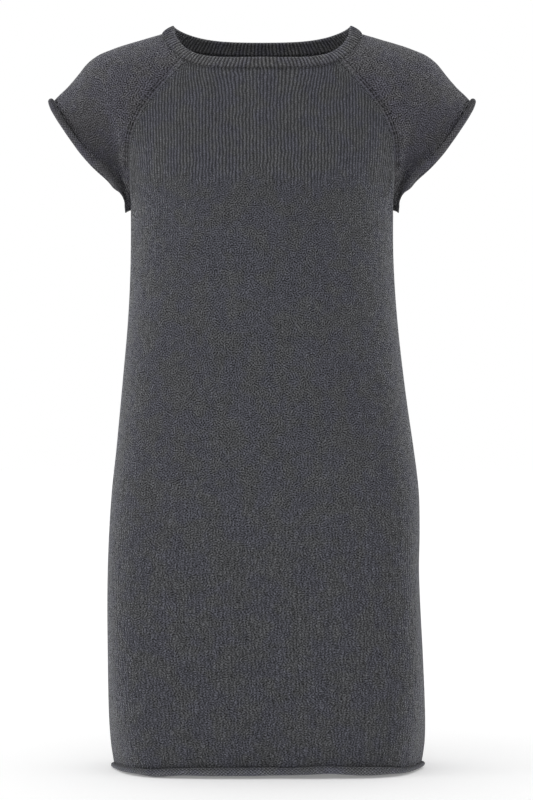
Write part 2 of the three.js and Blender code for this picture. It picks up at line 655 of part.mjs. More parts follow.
// The ribbed neckband: one column on each rib and one in each groove.
function neckband() {
  const angles = evenAngles(2 * BAND.ribs);
  const outer = [];
  const inner = [];
  for (const rise of BAND_ROWS) {
    const outerRow = [];
    const innerRow = [];
    angles.forEach((degrees, i) => {
      const { up, out } = bandDirections(degrees);
      const foot = loopPoint(BAND_FOOT, degrees).addScaledVector(up, SEAM_GAP / 2);
      const point = foot.lerp(loopPoint(BAND_TOP, degrees), rise);
      point.addScaledVector(out, BAND.crown * Math.sin(Math.PI * rise));
      innerRow.push(point.clone().addScaledVector(out, -WALL));
      outerRow.push(point.addScaledVector(out, i % 2 === 0 ? BAND.ribHeight : 0));
    });
    outer.push(outerRow);
    inner.push(innerRow);
  }
  return closedWall(outer, inner, true);
}

// The left-hand copy of a right-hand piece.
function mirrored(geometry) {
  const copy = geometry.clone();
  copy.scale(-1, 1, 1);
  copy.setIndex([...copy.index.array].reverse());
  copy.computeVertexNormals();
  return copy;
}

const dress = new THREE.Group();
for (const [name, geometry] of Object.entries(buildPieces())) {
  const color = name.startsWith('sleeve') ? FINISH.sleeve : FINISH[name];
  const material = new THREE.MeshStandardMaterial({ color, roughness: 0.95, metalness: 0 });
  const piece = new THREE.Mesh(geometry, material);
  piece.name = name;
  dress.add(piece);
}

export default dress;
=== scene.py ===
"""A knitted sweater dress, filled out as if worn, for Blender 4.5.

Each sewn piece is one closed knitted wall whose columns of vertices follow its wales.
The tables are those of the CAD part, in millimetres, so that every piece lies on its node.
"""

import math
from functools import partial

import bpy
import numpy as np
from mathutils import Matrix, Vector


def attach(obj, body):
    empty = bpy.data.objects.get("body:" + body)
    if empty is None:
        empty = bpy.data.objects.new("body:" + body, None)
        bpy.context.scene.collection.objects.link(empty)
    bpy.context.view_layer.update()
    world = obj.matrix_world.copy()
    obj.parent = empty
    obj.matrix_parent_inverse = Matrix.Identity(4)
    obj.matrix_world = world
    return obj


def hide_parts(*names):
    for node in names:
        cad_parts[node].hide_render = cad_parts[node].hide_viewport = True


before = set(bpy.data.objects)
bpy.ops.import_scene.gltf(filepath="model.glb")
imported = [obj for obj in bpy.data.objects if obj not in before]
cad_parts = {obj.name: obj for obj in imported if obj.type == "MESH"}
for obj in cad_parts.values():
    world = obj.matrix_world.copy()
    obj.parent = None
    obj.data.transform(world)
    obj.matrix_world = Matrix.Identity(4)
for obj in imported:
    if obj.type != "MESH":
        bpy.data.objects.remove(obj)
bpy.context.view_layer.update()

MM = 0.001

# ---------------------------------------------------------------- the cut of the dress

WALL = 2.5
SEAM_GAP = 0.02
MITRE_LIMIT = 1.5
# Within this distance of a raglan seam the wall turns to meet the other piece's.
EDGE_TURN = 16.0

# Places down the pieces, counted from 0 at the neck.
UNDERARM = 1.0
HEM = 2.0
CUFF = 1.08

# The low ridge along both sides of a raglan seam, which fades out towards the underarm.
RIDGE_MIDDLE = 2.4
RIDGE_WIDTH = 1.25
RIDGE_HEIGHT = 0.15
RIDGE_FADE = (0.6, 0.82)

HEM_ROLL = {"inside": 2.3, "turn": 285.0, "steps": 13}
CUFF_ROLL = {"inside": 1.7, "turn": 285.0, "steps": 12}
# Slow waves in the size of a roll from end to end: height, first and last angle.
HEM_SWELL = [(0.07, 0, 19), (0.04, 2, 53)]
CUFF_SWELL = [(0.06, 0, 14)]

# Edges of the neckband, seen from above as ellipses about the point (0, 5).
BAND_CENTRE_Y = 5.0
BAND_FOOT = {
    "half_width": 114.5, "front": 73.0, "back": 69.0,
    "side_z": 3.4, "front_z": -44.0, "back_z": -14.0, "curve": (1.4, 1.4),
}
BAND_TOP = {
    "half_width": 101.0, "front": 67.0, "back": 63.0,
    "side_z": 12.0, "front_z": -31.0, "back_z": 0.6, "curve": (1.15, 1.8),
}
# Where the front and the back end on the neckband, in degrees from its right-hand side.
NECK_ANGLE = {-1: 39.0, 1: 45.7}
# How far down the pieces are eased to the neckband's foot, and turn with its wall.
NECK_REACH = 0.3
NECK_TURN = 0.15

# Half rows of the panels: at, side x, y, z, corner x, depth, middle z, fullness.
FRONT_YOKE = [
    (0.00, 89.0, 41, -31, 52, 68, -44, 0.56),
    (0.12, 107.0, 48, -52, 60, 77, -63, 0.56),
    (0.26, 124.0, 53, -72, 70, 88, -84, 0.57),
    (0.40, 137.5, 55, -91.5, 82, 98, -104, 0.58),
    (0.53, 145.5, 54, -109.5, 94, 107, -124, 0.59),
    (0.66, 150.0, 49, -128, 107, 114, -143, 0.6),
    (0.80, 151.0, 37, -156, 122, 120, -168, 0.6),
    (0.91, 150.5, 19, -180, 137, 123, -189, 0.6),
]
BACK_YOKE = [
    (0.00, 80.0, 54, -11, 45, 74, -14, 0.56),
    (0.12, 101.0, 61, -33, 57, 84, -40, 0.56),
    (0.26, 120.0, 66, -58, 70, 93, -68, 0.57),
    (0.40, 134.5, 68, -82, 84, 100, -94, 0.58),
    (0.53, 144.0, 66, -104, 98, 105, -117, 0.59),
    (0.66, 149.5, 59, -126, 110, 108, -139, 0.6),
    (0.80, 151.0, 43, -155, 124, 109, -165, 0.6),
    (0.91, 150.5, 21, -180, 138, 108.5, -188, 0.6),
]

# Rings of the body: z, half width, corner x, front depth, back depth, fullness, lean.
BODY = [
    (-202, 150, 150, 124, 107.5, 0.6, 0),
    (-245, 150, 150, 125, 104, 0.6, 0),
    (-291, 151.7, 151.7, 120, 98, 0.61, 0.4),
    (-337, 155, 155, 114, 93, 0.62, 0.9),
    (-382, 159.5, 159.5, 110, 92, 0.64, 1.4),
    (-428, 164.6, 164.6, 109, 96, 0.66, 2.3),
    (-474, 170.1, 170.1, 110, 104, 0.69, 3.5),
    (-520, 175.4, 175, 111.5, 113, 0.72, 3.8),
    (-566, 177.5, 176.5, 112.5, 118, 0.75, 2.8),
    (-611, 178, 176.5, 112, 118, 0.78, 1.6),
    (-657, 179.2, 176, 110.5, 114, 0.82, 2.2),
    (-703, 180.3, 174, 108.5, 109, 0.86, 3.6),
    (-772, 181, 168, 105.5, 102, 0.9, 5.6),
    (-806, 179.6, 160, 104, 99, 0.92, 6.6),
    (-831, 175.8, 152, 101, 95, 0.93, 6.8),
]
UNDERARM_POINT = (150.0, 0.0, -198.0)
UNDERARM_MIDDLE_Z = -206.0

# Arches of the right sleeve: at, crown x, y, z, then the pulls at the seam (out, to the
# half's own side, up) and at the crown (in, to its own side, down).
SLEEVE = [
    (0.00, 114.5, 5, 3.4, 10, -8, 13, 0, 22, 8),
    (0.12, 133, 6, -2.0, 15, -1, 16, 0, 29, 6),
    (0.26, 154, 6, -8, 20, 3, 20, 0, 33, 8),
    (0.40, 173, 6, -14.3, 24, 3, 20, 0, 37, 10),
    (0.53, 188.5, 5, -21, 22, 1, 19, 0, 42, 14),
    (0.66, 201, 5, -30.5, 20, -1, 17, 0, 49, 22),
    (0.80, 212.5, 4, -45, 17, 3, 18, 1, 60, 31),
    (0.91, 223, 3, -57, 13, 22, 21, 3, 64, 38),
    (1.00, 232.5, 1.5, -66, 8, 44, 26, 5, 64, 42),
    (1.08, 241, 0, -75, 2, 56, 30, 6, 66, 46),
]
CUFF_UNDERARM = (155.5, 0.0, -202.0)
BACK_FULLNESS = 1.1
# Where the cuff is drawn in towards the arm: how far down an arch, over what share of
# it, and how deep.
CUFF_TUCKS = [(0.25, 0.19, 3.4), (0.76, 0.16, 5.3)]
TUCK_DIRECTION = (-0.77, 0.0, 0.64)

# The hem hangs lower at both sides, from the first to the second distance off the middle.
# Between them its front stands a little higher, with a sag and a rise (x, spread, height).
HEM_SIDES = (130, 178)
HEM_FALL = {"left": 3.6, "right": 2.0}
HEM_RISE = 1.2
HEM_BENDS = [(-124, 24, -2.5), (72, 28, 2.0)]
# These waves of the hem grow down the following heights.
HEM_WAVE_Z = (-755, -831)

# Soft folds seen from the front (x against z): from, to, spread, depth.
FRONT_FOLDS = [
    ((0, -745), (4, -850), 24, 3.0),
    ((-112, -205), (-96, -232), 22, 2.5),
    ((108, -208), (96, -232), 22, 2.5),
]
BACK_FOLDS = [
    ((-40, -360), (30, -372), 18, 3.0),
    ((52, -760), (46, -850), 24, 3.0),
]
SLEEVE_FRONT_FOLDS = [((171, -110), (157, -178), 9, 3.0)]
SLEEVE_BACK_FOLDS = [((182, -100), (164, -165), 10, 5.0)]

# ---------------------------------------------------------------- the knit's own sizes

WALE = 3.82
COURSE = 2.75
COLUMNS_PER_WALE = 4
WALE_RELIEF = 0.34
SLEEVE_RELIEF = 0.1
PANEL_ROWS = 92
SLEEVE_ROWS = 66
# The first rows below the top of each column, and the length below which they close up.
TOP_STEPS = (0.8, 1.6, 2.4, 3.2, 4.0, 5.0, 6.2, 8.0, 10.5, 14.0, 19.0)
PANEL_TOP_LENGTH = 60.0
SLEEVE_TOP_LENGTH = 40.0

RIBS = 136
RIB_HEIGHT = 0.9
RIB_INSIDE = 0.35
COLUMNS_PER_RIB = 8
BAND_CROWN = 0.9
# The share of the neckband's height over which its top edge rounds over.
BAND_EDGE = 0.1

# At this distance from a raglan seam nothing of it is left.
SEAM_FAR = 30.0
# Up the first pair of heights the knit grows ribbed, and down the second its wales show as
# lines. Both waver round the body: height, first and last angle.
RIBBED_Z = (-202, -146)
LINED_Z = (-420, -640)
HEIGHT_WAVES = [(5, 0, 23), (3, 1, 61)]

# How finely pieces and curves are sampled, and how many points are worked out at a time.
FINE_STEPS = 260
CURVE_STEPS = 49
BATCH = 6000


def smooth_step(low, high, value):
    t = np.clip((value - low) / (high - low), 0.0, 1.0)
    return t * t * (3 - 2 * t)


def unit(vectors):
    return vectors / np.maximum(np.linalg.norm(vectors, axis=-1, keepdims=True), 1e-9)


def run_along(points):
    """The length of a line from its first point to each of its points."""
    steps = np.linalg.norm(np.diff(points, axis=0), axis=1)
    return np.concatenate([[0.0], np.cumsum(steps)])


def waves(count, base, terms):
    """A number that wavers about its base along an edge. Terms: height, first and last angle."""
    return sum((height * np.sin(np.linspace(a, b, count)) for height, a, b in terms), base)


def table_at(table, places):
    """Every column of a table at the given places, smoothly."""
    keys = np.array([row[0] for row in table], float)
    values = np.array([row[1:] for row in table], float)
    places = np.asarray(places, float)
    last = len(keys) - 1
    low = np.maximum(np.arange(last + 1) - 1, 0)
    high = np.minimum(np.arange(last + 1) + 1, last)
    slopes = (values[high] - values[low]) / (keys[high] - keys[low])[:, None]
    i = np.clip(np.searchsorted(keys, places, side="left") - 1, 0, last - 1)
    step = (keys[i + 1] - keys[i])[:, None]
    t = (places - keys[i])[:, None] / step
    rise = values[i + 1] - values[i]
    a = slopes[i] * step - rise
    b = -slopes[i + 1] * step + rise
    return values[i] + t * rise + t * (1 - t) * ((1 - t) * a + t * b)


def panel_table(yoke, front):
    """The half rows of a whole panel: those of its yoke, then those of the body's rings."""
    depth = 3 if front else 4
    x, y, z = UNDERARM_POINT
    rows = [row + (0.0,) for row in yoke]
    rows.append((UNDERARM, x, y, z, x, BODY[0][depth], UNDERARM_MIDDLE_Z, BODY[0][5], 0.0))
    top = BODY[0][0]
    drop = BODY[-1][0] - top
    for ring in BODY[1:]:
        at = UNDERARM + (HEM - UNDERARM) * (ring[0] - top) / drop
        rows.append((at, ring[1], 0.0, ring[0], ring[2], ring[depth], ring[0], ring[5], ring[6]))
    return rows


TABLES = {-1: panel_table(FRONT_YOKE, True), 1: panel_table(BACK_YOKE, False)}


def bezier(p, t):
    """A cubic curve with control points p[k] of shape (n, d), at t of shape (n, m)."""
    t = t[..., None]
    u = 1 - t
    p0, p1, p2, p3 = (q[:, None, :] for q in p)
    return u**3 * p0 + 3 * u**2 * t * p1 + 3 * u * t**2 * p2 + t**3 * p3


def along_bezier(p, share):
    """Points at a share of each curve's own length, and the lengths."""
    n = len(share)
    grid = np.linspace(0.0, 1.0, CURVE_STEPS)
    points = np.empty((n, p[0].shape[1]))
    lengths = np.empty(n)
    for start in range(0, n, BATCH):
        part = slice(start, min(start + BATCH, n))
        q = [c[part] for c in p]
        count = len(q[0])
        line = bezier(q, np.broadcast_to(grid, (count, len(grid))))
        steps = np.linalg.norm(np.diff(line, axis=1), axis=2)
        run = np.concatenate([np.zeros((count, 1)), np.cumsum(steps, axis=1)], axis=1)
        target = share[part] * run[:, -1]
        k = np.clip((run < target[:, None]).sum(axis=1) - 1, 0, len(grid) - 2)
        rows = np.arange(count)
        t = grid[k] + (target - run[rows, k]) / np.maximum(steps[rows, k], 1e-9) * grid[1]
        points[part] = bezier(q, t[:, None])[:, 0, :]
        lengths[part] = run[:, -1]
    return points, lengths


def loop_point(edge, degrees):
    """A point of an edge of the neckband, counted from its right-hand side over the front."""
    angle = np.radians(degrees)
    across = np.sin(angle)
    to_front = across > 0
    reach = np.where(to_front, edge["front"], edge["back"])
    end_z = np.where(to_front, edge["front_z"], edge["back_z"])
    curve = np.where(to_front, *edge["curve"])
    fall = np.sin(np.pi / 2 * np.abs(across) ** curve)
    return np.stack([
        edge["half_width"] * np.cos(angle),
        BAND_CENTRE_Y - reach * across,
        edge["side_z"] + (end_z - edge["side_z"]) * fall,
    ], axis=-1)


def band_directions(degrees):
    """Up the neckband's wall and out through it."""
    foot = loop_point(BAND_FOOT, degrees)
    along = loop_point(BAND_FOOT, degrees + 0.5) - loop_point(BAND_FOOT, degrees - 0.5)
    up = unit(loop_point(BAND_TOP, degrees) - foot)
    out = unit(np.cross(up, along))
    outward = out[..., 0] * foot[..., 0] + out[..., 1] * (foot[..., 1] - BAND_CENTRE_Y)
    return up, out * np.where(outward < 0, -1.0, 1.0)[..., None]


# ---------------------------------------------------------------- the pieces' surfaces


def half_row(facing, at, share):
    """A point of a panel's right half, its row's length and its row's lean."""
    row = table_at(TABLES[facing], at)
    side_x, side_y, side_z, corner_x, depth, mid_z, full, lean = row.T
    middle = np.stack([np.zeros_like(depth), depth], axis=1)
    side = np.stack([side_x, side_y], axis=1)
    corner = np.stack([corner_x, depth], axis=1)
    full = full[:, None]
    curve = (middle, middle + (corner - middle) * full, side + (corner - side) * full, side)
    plan, lengths = along_bezier(curve, share)
    z = mid_z + (side_z - mid_z) * (plan[:, 0] / side_x) ** 2
    return np.stack([plan[:, 0], facing * plan[:, 1], z], axis=1), lengths, lean


def ease_to_neck(points, tops, degrees, at):
    """Brings the top of a piece onto the neckband's foot."""
    weight = np.where(at < NECK_REACH, (1 - at / NECK_REACH) ** 2, 0.0)[:, None]
    return points + (loop_point(BAND_FOOT, degrees) - tops) * weight


def panel_angle(facing, share):
    """Where on the neckband a column of a panel's right half ends."""
    return -facing * (90 - (90 - NECK_ANGLE[facing]) * share)


def sleeve_angle(facing, share):
    return -facing * NECK_ANGLE[facing] * share


def panel_point(facing, at, share):
    """A point of a panel's right half. share runs from the middle to the side."""
    points, _, lean = half_row(facing, at, share)
    near = at < NECK_REACH
    if near.any():
        tops, _, _ = half_row(facing, np.zeros(near.sum()), share[near])
        degrees = panel_angle(facing, share[near])
        points[near] = ease_to_neck(points[near], tops, degrees, at[near])
    points[:, 0] += lean
    return points


def seam_point(facing, at):
    """A point of the right raglan seam, or past the underarm of the sleeve's own seam."""
    capped = np.minimum(at, UNDERARM)
    points = panel_point(facing, capped, np.ones_like(capped))
    share = np.clip((at - UNDERARM) / (CUFF - UNDERARM), 0.0, None)[:, None]
    past = np.array(UNDERARM_POINT) * (1 - share) + np.array(CUFF_UNDERARM) * share
    return np.where((at > UNDERARM)[:, None], past, points)


def sleeve_arch(facing, at, share):
    """A point of a sleeve's front or back half, from its crown (0) to its seam (1)."""
    row = table_at(SLEEVE, at)
    crown = row[:, :3]
    full = BACK_FULLNESS if facing > 0 else 1.0
    foot = seam_point(facing, at)
    turn = np.array([1.0, facing * full, 1.0])
    foot_pull = row[:, 3:6] * turn
    crown_pull = row[:, 6:9] * turn * np.array([-1.0, 1.0, -1.0])
    curve = (crown, crown + crown_pull, foot + foot_pull, foot)
    points, lengths = along_bezier(curve, share)
    tuck = sum(deep * np.exp(-(((share - down) / wide) ** 2)) for down, wide, deep in CUFF_TUCKS)
    tuck *= smooth_step(0.7, CUFF, at) * (1 - smooth_step(0.88, 1.0, share))
    return points + tuck[:, None] * np.array(TUCK_DIRECTION), lengths


def sleeve_point(facing, at, share):
    """A point of the right sleeve's front or back half."""
    points, _ = sleeve_arch(facing, at, share)
    near = at < NECK_REACH
    if near.any():
        tops, _ = sleeve_arch(facing, np.zeros(near.sum()), share[near])
        degrees = sleeve_angle(facing, share[near])
        points[near] = ease_to_neck(points[near], tops, degrees, at[near])
    return points


def normals_of(point_at, at, share, most, sign):
    """The surface's own normals, by small steps along and down it."""
    step = 0.003
    low = point_at(np.maximum(at - step, 0.0), share)
    high = point_at(np.minimum(at + step, most), share)
    inner = point_at(at, np.maximum(share - step, 0.0))
    outer = point_at(at, np.minimum(share + step, 1.0))
    return unit(np.cross(high - low, outer - inner)) * sign


class Seam:
    """The right raglan seam of the front or back: its line, and how both its walls turn."""

    def __init__(self, facing):
        self.at = np.concatenate([np.linspace(0.0, 0.96, 150), np.linspace(0.965, UNDERARM, 12)])
        ones = np.ones_like(self.at)
        self.points = seam_point(facing, self.at)
        self.run = run_along(self.points)
        along = unit(np.gradient(self.points, axis=0))

        def square(v):
            """The part of a direction that is square to the seam."""
            return unit(v - (v * along).sum(axis=1, keepdims=True) * along)

        into_panel = panel_point(facing, self.at, ones - 0.05) - self.points
        into_sleeve = sleeve_point(facing, self.at, ones - 0.1) - self.points
        self.across = unit(square(into_sleeve) - square(into_panel))
        panel = partial(panel_point, facing)
        sleeve = partial(sleeve_point, facing)
        panel_normal = normals_of(panel, self.at, ones, UNDERARM, -facing)
        sleeve_normal = normals_of(sleeve, self.at, ones, CUFF, -facing)
        self.out = unit(panel_normal + sleeve_normal)
        cosine = np.maximum((self.out * panel_normal).sum(axis=1), 0.01)
        self.scale = np.minimum(1 / cosine, MITRE_LIMIT)

    def nearest(self, points):
        """Each point's distance to the seam line, and where on the line it is nearest."""
        distance = np.full(len(points), 1e9)
        index = np.zeros(len(points), int)
        for start in range(0, len(points), BATCH):
            part = slice(start, start + BATCH)
            gap = np.linalg.norm(points[part, None, :] - self.points[None], axis=2)
            index[part] = gap.argmin(axis=1)
            best = index[part]
            distance[part] = gap[np.arange(len(best)), best]
        # Between samples, the true distance is to the line itself.
        before = np.maximum(index - 1, 0)
        after = np.minimum(index + 1, len(self.points) - 1)
        for other in (before, after):
            start_point = self.points[index]
            run = self.points[other] - start_point
            length = np.maximum((run**2).sum(axis=1), 1e-9)
            share = np.clip(((points - start_point) * run).sum(axis=1) / length, 0, 1)
            gap = np.linalg.norm(points - start_point - run * share[:, None], axis=1)
            distance = np.minimum(distance, gap)
        return distance, index


SEAMS = {-1: Seam(-1), 1: Seam(1)}
# Both seams end on the underarm point, where all four walls turn the same way.
shared_out = unit(SEAMS[-1].out[-1:] + SEAMS[1].out[-1:])[0]
SEAMS[-1].out[-1] = shared_out
SEAMS[1].out[-1] = shared_out


def fold_depth(folds, points):
    """How deep the folds are at each point."""
    depth = np.zeros(len(points))
    place = points[:, [0, 2]]
    for start, end, spread, amount in folds:
        start = np.array(start, float)
        run = np.array(end, float) - start
        share = np.clip((place - start) @ run / (run @ run), 0, 1)
        distance = np.linalg.norm(place - start - share[:, None] * run, axis=1)
        depth += amount * np.exp(-((distance / spread) ** 2))
    return depth


def row_places(length, rows, top, top_length):
    """How far down each column its rows stand: close together at the top, then even."""
    steps = np.array((0.0,) + TOP_STEPS)
    squeeze = np.minimum(1.0, length / top_length)[:, None]
    head = steps[None, :] * squeeze
    rest = np.linspace(0.0, 1.0, rows - len(steps) + 1)[1:]
    tail = head[:, -1:] + (length[:, None] - head[:, -1:]) * rest[None, :]
    return top[:, None] + np.concatenate([head, tail], axis=1)


class Sheet:
    """The outer points of one half of a piece, laid out as columns by rows."""

    def __init__(self, facing, point_at, length_at, most, rows, top_length, sign):
        self.facing = facing
        fine = np.linspace(0.0, most, FINE_STEPS)
        reach = np.maximum.accumulate(length_at(np.minimum(fine, UNDERARM)))
        full = reach[np.searchsorted(fine, UNDERARM)]
        count = int(round(full / WALE * COLUMNS_PER_WALE))
        self.across = np.linspace(0.0, full, count + 1)
        # The length of cloth from the neck down to each place, near the middle of a row.
        middle = point_at(fine, np.full_like(fine, 0.5))
        run = run_along(middle)
        yoke = fine <= UNDERARM
        top_at = np.interp(self.across, reach[yoke], fine[yoke], left=0.0)
        top_at[self.across <= reach[0]] = 0.0
        top = np.interp(top_at, fine, run)
        down = row_places(run[-1] - top, rows, top, top_length)
        at = np.interp(down, run, fine)
        at[:, -1] = most
        length = np.interp(np.minimum(at, UNDERARM), fine, reach)
        share = np.clip(self.across[:, None] / length, 0.0, 1.0)
        share[-1, :] = 1.0
        self.shape = at.shape
        self.at = at
        self.share = share
        self.down = down
        flat_at, flat_share = at.ravel(), share.ravel()
        self.points = point_at(flat_at, flat_share)
        self.normals = normals_of(point_at, flat_at, flat_share, most, sign)


def panel_length(facing, at):
    """The length of half rows."""
    return half_row(facing, at, np.ones_like(at))[1]


def sleeve_length(facing, at):
    """The length of arches, from crown to seam."""
    return sleeve_arch(facing, at, np.ones_like(at))[1]


def wander(across, down):
    """How far a wale strays sideways: hand-like, slow waves of well under one wale."""
    return (
        0.42 * np.sin(0.071 * down + 0.9 * np.sin(0.033 * across) + 0.4)
        + 0.30 * np.sin(0.153 * down + 0.087 * across + 2.1)
        + 0.22 * np.sin(0.29 * down - 0.21 * across + 1.7 * np.sin(0.05 * across))
    )


def neck_pull(across, down):
    """The stretched neck edge draws the wales beside it outward."""
    beside = smooth_step(12, 48, across) * (1 - smooth_step(78, 100, across))
    return 3.6 * beside * np.exp(-((down / 30) ** 2))


def finish_sheet(sheet, folds, neck_degrees, seam_side, mirror=1):
    """Relief, seam gaps and wall directions. Returns outer and inner points, columns first,
    and the numbers that the material reads. seam_side is -1 for a panel, 1 for a sleeve."""
    seam = SEAMS[sheet.facing]
    is_sleeve = seam_side > 0
    columns, rows = sheet.shape
    points, normals = sheet.points, sheet.normals
    at = sheet.at.ravel()
    across = np.repeat(sheet.across, rows)
    down = sheet.down.ravel()
    distance, index = seam.nearest(points)

    # The wales stray a little, but not along the edges of the piece.
    sideways = unit(np.gradient(points.reshape(columns, rows, 3), axis=0).reshape(-1, 3))
    off_seam = smooth_step(6, 14, distance)
    inside = off_seam * smooth_step(0, 8, down)
    inside *= smooth_step(0, 6, across)
    inside *= smooth_step(0, 6, sheet.across[-1] - across)
    stray = wander(mirror * across, down) * inside
    points = points + sideways * (mirror * stray)[:, None]
    if not is_sleeve:
        points = points + sideways * (neck_pull(across, down) * off_seam)[:, None]

    fade = 1 - smooth_step(*RIDGE_FADE, seam.at[index])
    ridge = RIDGE_HEIGHT * np.exp(-(((distance - RIDGE_MIDDLE) / RIDGE_WIDTH) ** 2)) * fade
    if is_sleeve:
        strength = SLEEVE_RELIEF
    else:
        strength = WALE_RELIEF * (1 - 0.75 * smooth_step(0.85, 1.2, at))
    relief = strength * np.cos(2 * np.pi * (across / WALE)) * smooth_step(5, 10, distance)
    fold = fold_depth(folds, points) * smooth_step(0, EDGE_TURN, distance)
    points = points + normals * (ridge + relief - fold)[:, None]

    # The wall's inner side lies straight below, and turns beside a seam and the neckband.
    weight = (1 - smooth_step(0, EDGE_TURN, distance))[:, None]
    target = seam.out[index] * seam.scale[index][:, None]
    thickness = normals * (1 - weight) + target * weight
    neck_up, neck_out = band_directions(neck_degrees)
    neck_weight = np.clip(1 - at / NECK_TURN, 0, None)[:, None]
    thickness = thickness * (1 - neck_weight) + neck_out * neck_weight

    # The top row of each column steps back from the raglan seam or from the neckband, and
    # the last column steps back from the side seam.
    points = points.reshape(columns, rows, 3)
    shift = np.zeros_like(points)
    on_seam = sheet.at[:, 0] > 0
    step = seam.across[index.reshape(columns, rows)[:, 0]] * (seam_side * SEAM_GAP / 2)
    shift[on_seam, 0] += step[on_seam]
    side = sheet.at[-1] >= UNDERARM - 1e-6
    shift[-1, side, 1] += sheet.facing * SEAM_GAP / 2
    up_grid = neck_up.reshape(columns, rows, 3)
    shift[~on_seam, 0] -= up_grid[~on_seam, 0] * (SEAM_GAP / 2)
    outer = points + shift
    inner = outer - thickness.reshape(columns, rows, 3) * WALL

    # The seam's stitches die away into the armpit.
    away = distance + SEAM_FAR * smooth_step(0.8, 0.98, seam.at[index])
    # Painted shade lies below the neckband and in the groove behind a roll.
    from_neck = down + 100.0 * np.repeat(on_seam, rows)
    to_edge = np.repeat(sheet.down[:, -1], rows) - down
    neck_shadow = 0.4 * np.exp(-((from_neck / 2.6) ** 2))
    groove = 0.5 * np.exp(-((to_edge / 7.5) ** 6))
    paint = {
        "seam": np.minimum(away, SEAM_FAR).reshape(columns, rows),
        "run": (seam.run[index] / COURSE).reshape(columns, rows),
        "painted_shading": np.maximum(neck_shadow, groove).reshape(columns, rows),
        "purl": np.zeros((columns, rows)),
    }
    return outer, inner, paint


def add_roll(outer, inner, roll, swell):
    """The cloth's edge curls outward past the last row. Arrays are columns by rows.
    Where swell falls below 1 the curl is tighter and its cloth thinner."""
    last, last_in, before = outer[:, -1], inner[:, -1], outer[:, -4]
    out = last - last_in
    wall = np.linalg.norm(out, axis=1, keepdims=True)
    out = out / wall
    down = last - before
    down = unit(down - (down * out).sum(axis=1, keepdims=True) * out)
    swell = swell[:, None]
    radius = roll["inside"] * swell
    thin = wall * (0.25 + 0.75 * np.minimum(swell, 1.0))
    centre = last + out * radius
    outer_rows, inner_rows = [outer], [inner]
    for s in range(1, roll["steps"] + 1):
        angle = math.radians(roll["turn"]) * s / roll["steps"]
        ray = -out * math.cos(angle) + down * math.sin(angle)
        thickness = wall + (thin * (1 - 0.2 * s / roll["steps"]) - wall) * min(1.0, s / 3)
        outer_rows.append((centre + ray * radius)[:, None])
        inner_rows.append((centre + ray * (radius + thickness))[:, None])
    return np.concatenate(outer_rows, axis=1), np.concatenate(inner_rows, axis=1)


# ---------------------------------------------------------------- meshes


def wall_mesh(name, outer, inner, uv, paint, ring=False):
    """A closed wall. outer and inner are (columns, rows, 3), and uv is (columns, rows, 2).
    paint holds the numbers at each point that the material reads."""
    columns, rows = outer.shape[:2]
    positions = np.concatenate([outer.reshape(-1, 3), inner.reshape(-1, 3)]) * MM
    half = columns * rows
    c = np.arange(columns if ring else columns - 1)
    r = np.arange(rows - 1)
    cc, rr = np.meshgrid(c, r, indexing="ij")
    cc, rr = cc.ravel(), rr.ravel()
    nn = (cc + 1) % columns
    n = (c + 1) % columns
    last = rows - 1
    end = columns - 1

    def quads(*corners):
        """Faces between four corners, each given as its layer, column and row."""
        return np.stack([layer * half + col * rows + row for layer, col, row in corners], 1)

    # The outside, the inside, the first row, the last row, then the two ends.
    faces = [
        quads((0, cc, rr), (0, cc, rr + 1), (0, nn, rr + 1), (0, nn, rr)),
        quads((1, cc, rr), (1, nn, rr), (1, nn, rr + 1), (1, cc, rr + 1)),
        quads((0, c, 0), (0, n, 0), (1, n, 0), (1, c, 0)),
        quads((0, c, last), (1, c, last), (1, n, last), (0, n, last)),
    ]
    if not ring:
        faces += [
            quads((0, 0, r), (1, 0, r), (1, 0, r + 1), (0, 0, r + 1)),
            quads((0, end, r), (0, end, r + 1), (1, end, r + 1), (1, end, r)),
        ]
    faces = np.concatenate(faces)
    a, b, d = positions[faces[:, 0]], positions[faces[:, 1]], positions[faces[:, 2]]
    if (a * np.cross(b, d)).sum() < 0:
        faces = faces[:, ::-1]
    mesh = bpy.data.meshes.new(name)
    mesh.vertices.add(len(positions))
    mesh.vertices.foreach_set("co", positions.astype(np.float32).ravel())
    mesh.loops.add(faces.size)
    mesh.loops.foreach_set("vertex_index", faces.astype(np.int32).ravel())
    mesh.polygons.add(len(faces))
    mesh.polygons.foreach_set("loop_start", np.arange(0, faces.size, 4, dtype=np.int32))
    mesh.update(calc_edges=True)
    layer = mesh.uv_layers.new(name="Stitches")
    corner_uv = np.concatenate([uv.reshape(-1, 2)] * 2)[faces.ravel()]
    if ring:
        # The faces that close the ring count on past the last rib.
        u = corner_uv[:, 0].reshape(-1, 4)
        closing = (u.max(axis=1) - u.min(axis=1) > RIBS / 2)[:, None]
        corner_uv[:, 0] = np.where(closing & (u < RIBS / 2), u + RIBS, u).ravel()
    layer.data.foreach_set("uv", corner_uv.astype(np.float32).ravel())
    for key, values in paint.items():
        attribute = mesh.attributes.new(key, "FLOAT", "POINT")
        attribute.data.foreach_set("value", np.concatenate([values.ravel()] * 2).astype(np.float32))
    mesh.validate()
    mesh.polygons.foreach_set("use_smooth", np.ones(len(mesh.polygons), bool))
    body = bpy.data.objects.new(name, mesh)
    bpy.context.scene.collection.objects.link(body)
    return body


def hem_wave(facing, x):
    """How far the hem stands above its level at each place."""
    at_side = smooth_step(*HEM_SIDES, np.abs(x))
    fall = np.where(x < 0, HEM_FALL["left"], HEM_FALL["right"]) * at_side
    if facing > 0:
        return -fall
    stand = HEM_RISE * (1 - at_side) - fall
    for middle, spread, height in HEM_BENDS:
        stand = stand + height * np.exp(-(((x - middle) / spread) ** 2))
    return stand


def joined(left, right):
    """A panel's grid from its mirrored half and its right half, which has the middle column."""
    return np.concatenate([left[:0:-1], right])


